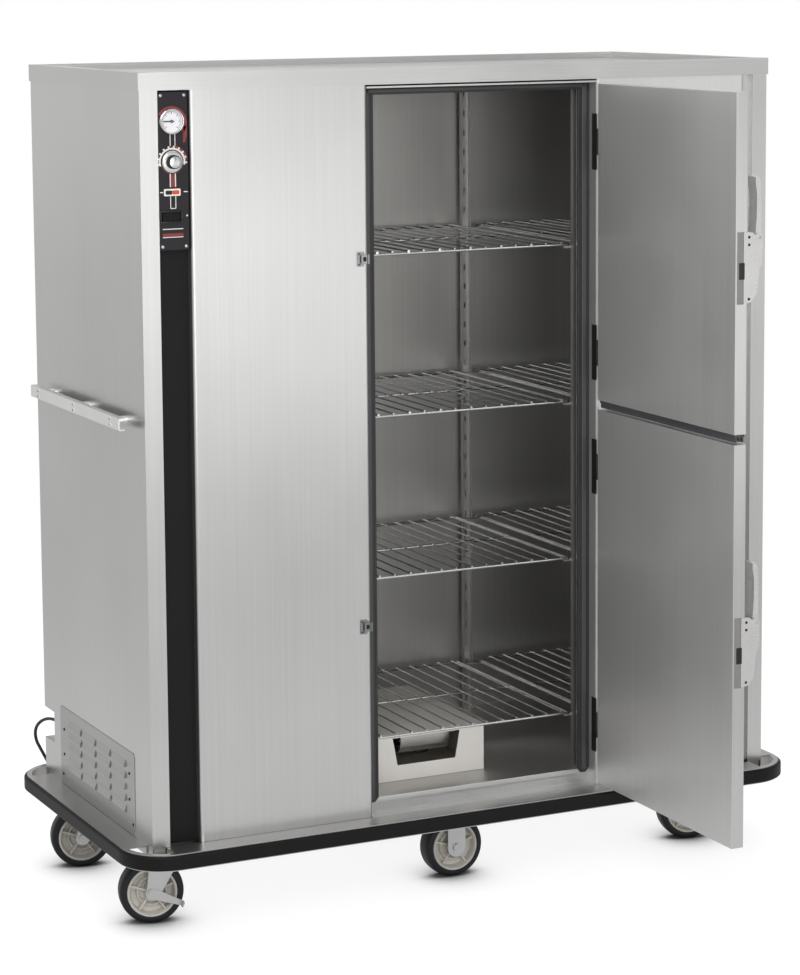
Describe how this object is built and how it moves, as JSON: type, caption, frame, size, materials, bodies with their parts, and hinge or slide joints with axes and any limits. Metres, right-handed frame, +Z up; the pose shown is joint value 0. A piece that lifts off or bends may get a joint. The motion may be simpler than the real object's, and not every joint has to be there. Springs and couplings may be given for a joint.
{
  "type": "heated banquet cabinet",
  "caption": "Upright insulated steel cabinet on casters that keeps stacked covered plates warm, with a split door, wire shelves, a heater, a bumper and push handles.",
  "frame": {"origin": "on the floor, at the bottom centre of the cabinet with its doors open, cord left out", "axes": "+X along the cabinet towards its hinge end, +Y from the doorway to the back, +Z up"},
  "size_m": [1.774, 1.635, 1.982],
  "materials": {
    "stainless": "brushed stainless sheet",
    "black_sheet": "gloss black",
    "dark_panel": "satin black",
    "bezel": "polished rim, white dial",
    "needle": "matt black",
    "knob": "black moulding",
    "lamps": "black bezel, green and red lenses",
    "seal": "dark grey vinyl",
    "chrome": "polished",
    "cast_latch": "satin cast metal",
    "wire": "bright wire",
    "element": "dark sheath",
    "aluminised": "plain sheet",
    "bumper_aluminium": "satin extrusion",
    "bumper_rubber": "matt black",
    "handle_aluminium": "satin extrusion",
    "zinc": "bright zinc",
    "cord_black": "black jacket",
    "tie": "black strap",
    "wheel": "black tyre on a light grey hub"
  },
  "bodies": {
    "cabinet": {"side_left": "stainless", "side_right": "stainless", "back_panel": "stainless", "top_cap": "stainless", "liner": "stainless", "face_frame": "stainless", "left_panel": "stainless", "right_panel": "stainless", "louvre_panel": "stainless", "hinge_leaves": "stainless", "black_strip": "black_sheet", "control_panel": "dark_panel", "thermometer": "bezel", "indicator_lights": "lamps", "gasket": "seal", "strikes": "chrome", "side_shelves": "wire", "shelf_uprights": "wire", "base_frame": "aluminised", "bumper_rail": "bumper_aluminium", "bumper_rubber": "bumper_rubber", "push_handles": "handle_aluminium", "rigid_forks": "zinc", "strain_relief": "cord_black", "power_cord": "cord_black", "cord_coil": "cord_black", "cord_tie": "tie", "plug": "cord_black"},
    "needle": {"thermometer_needle": "needle"},
    "knob": {"thermostat_knob": "knob"},
    "rocker": {"rocker_switch": "knob"},
    "shelf_one": {"shelf_1": "wire"},
    "shelf_two": {"shelf_2": "wire"},
    "shelf_three": {"shelf_3": "wire"},
    "shelf_four": {"shelf_4": "wire"},
    "heater": {"heater_box": "stainless", "heating_element": "element"},
    "upper_door": {"upper_door_panel": "stainless", "upper_door_inner_sheet": "stainless", "upper_door_seal": "seal", "upper_door_straps": "stainless", "upper_latch": "cast_latch"},
    "lower_door": {"lower_door_panel": "stainless", "lower_door_inner_sheet": "stainless", "lower_door_straps": "stainless", "lower_latch": "cast_latch"},
    "upper_lever": {"upper_latch_lever": "cast_latch"},
    "lower_lever": {"lower_latch_lever": "cast_latch"},
    "front_left_brake_lever": {"front_left_brake": "zinc"},
    "front_right_brake_lever": {"front_right_brake": "zinc"},
    "front_middle_roller": {"front_middle_wheel": "wheel"},
    "rear_middle_roller": {"rear_middle_wheel": "wheel"},
    "front_left_caster": {"front_left_fork": "zinc"},
    "front_left_roller": {"front_left_wheel": "wheel"},
    "rear_left_caster": {"rear_left_fork": "zinc"},
    "rear_left_roller": {"rear_left_wheel": "wheel"},
    "front_right_caster": {"front_right_fork": "zinc"},
    "front_right_roller": {"front_right_wheel": "wheel"},
    "rear_right_caster": {"rear_right_fork": "zinc"},
    "rear_right_roller": {"rear_right_wheel": "wheel"}
  },
  "joints": [
    {"name": "thermometer_needle_turn", "type": "hinge", "parent": "cabinet", "child": "needle", "pos_m": [-0.745, -0.08985, 1.873], "axis": [0, 1, 0], "range_deg": [-40, 200]},
    {"name": "thermostat_turn", "type": "hinge", "parent": "cabinet", "child": "knob", "pos_m": [-0.744, -0.08985, 1.783], "axis": [0, 1, 0], "range_deg": [0, 270]},
    {"name": "power_switch_rock", "type": "hinge", "parent": "cabinet", "child": "rocker", "pos_m": [-0.7485, -0.08485, 1.6605], "axis": [0, 0, 1], "range_deg": [-14, 0]},
    {"name": "heater_slide", "type": "slide", "parent": "cabinet", "child": "heater", "axis": [0, -1, 0], "range_m": [0, 0.3]},
    {"name": "upper_door_swing", "type": "hinge", "parent": "cabinet", "child": "upper_door", "pos_m": [0.3665, -0.09235, 1.553], "axis": [0, 0, 1], "range_deg": [-90, 80]},
    {"name": "lower_door_swing", "type": "hinge", "parent": "cabinet", "child": "lower_door", "pos_m": [0.3665, -0.09235, 0.692], "axis": [0, 0, 1], "range_deg": [-90, 80]},
    {"name": "front_middle_roll", "type": "hinge", "parent": "cabinet", "child": "front_middle_roller", "pos_m": [0.01, 0.05015, 0.076], "axis": [0, 1, 0], "continuous": true},
    {"name": "rear_middle_roll", "type": "hinge", "parent": "cabinet", "child": "rear_middle_roller", "pos_m": [0.01, 0.52015, 0.076], "axis": [0, 1, 0], "continuous": true},
    {"name": "shelf_one_slide", "type": "slide", "parent": "cabinet", "child": "shelf_one", "axis": [0, -1, 0], "range_m": [0, 0.25]},
    {"name": "shelf_two_slide", "type": "slide", "parent": "cabinet", "child": "shelf_two", "axis": [0, -1, 0], "range_m": [0, 0.25]},
    {"name": "shelf_three_slide", "type": "slide", "parent": "cabinet", "child": "shelf_three", "axis": [0, -1, 0], "range_m": [0, 0.25]},
    {"name": "shelf_four_slide", "type": "slide", "parent": "cabinet", "child": "shelf_four", "axis": [0, -1, 0], "range_m": [0, 0.25]},
    {"name": "upper_latch_pull", "type": "hinge", "parent": "upper_door", "child": "upper_lever", "pos_m": [0.3895, -0.70085, 1.611], "axis": [0, 1, 0], "range_deg": [0, 22], "stiffness_Nm_per_rad": 0.5, "springref_deg": -11.46},
    {"name": "lower_latch_pull", "type": "hinge", "parent": "lower_door", "child": "lower_lever", "pos_m": [0.3895, -0.70085, 0.747], "axis": [0, 1, 0], "range_deg": [0, 22], "stiffness_Nm_per_rad": 0.5, "springref_deg": -11.46},
    {"name": "front_left_swivel", "type": "hinge", "parent": "cabinet", "child": "front_left_caster", "pos_m": [-0.73, 0.04515, 0.181], "axis": [0, 0, 1], "continuous": true},
    {"name": "front_left_roll", "type": "hinge", "parent": "front_left_caster", "child": "front_left_roller", "pos_m": [-0.77402, 0.05451, 0.076], "axis": [0.2079, 0.9781, 0], "continuous": true},
    {"name": "front_left_brake_press", "type": "hinge", "parent": "front_left_caster", "child": "front_left_brake_lever", "pos_m": [-0.77402, 0.05451, 0.076], "axis": [0.2079, 0.9781, 0], "range_deg": [0, 18], "stiffness_Nm_per_rad": 0.6, "springref_deg": -17.19},
    {"name": "rear_left_swivel", "type": "hinge", "parent": "cabinet", "child": "rear_left_caster", "pos_m": [-0.73, 0.52515, 0.181], "axis": [0, 0, 1], "continuous": true},
    {"name": "rear_left_roll", "type": "hinge", "parent": "rear_left_caster", "child": "rear_left_roller", "pos_m": [-0.77402, 0.53451, 0.076], "axis": [0.2079, 0.9781, 0], "continuous": true},
    {"name": "front_right_swivel", "type": "hinge", "parent": "cabinet", "child": "front_right_caster", "pos_m": [0.73, 0.04515, 0.181], "axis": [0, 0, 1], "continuous": true},
    {"name": "front_right_roll", "type": "hinge", "parent": "front_right_caster", "child": "front_right_roller", "pos_m": [0.68598, 0.05451, 0.076], "axis": [0.2079, 0.9781, 0], "continuous": true},
    {"name": "front_right_brake_press", "type": "hinge", "parent": "front_right_caster", "child": "front_right_brake_lever", "pos_m": [0.68598, 0.05451, 0.076], "axis": [0.2079, 0.9781, 0], "range_deg": [0, 18], "stiffness_Nm_per_rad": 0.6, "springref_deg": -17.19},
    {"name": "rear_right_swivel", "type": "hinge", "parent": "cabinet", "child": "rear_right_caster", "pos_m": [0.73, 0.52515, 0.181], "axis": [0, 0, 1], "continuous": true},
    {"name": "rear_right_roll", "type": "hinge", "parent": "rear_right_caster", "child": "rear_right_roller", "pos_m": [0.68598, 0.53451, 0.076], "axis": [0.2079, 0.9781, 0], "continuous": true}
  ]
}
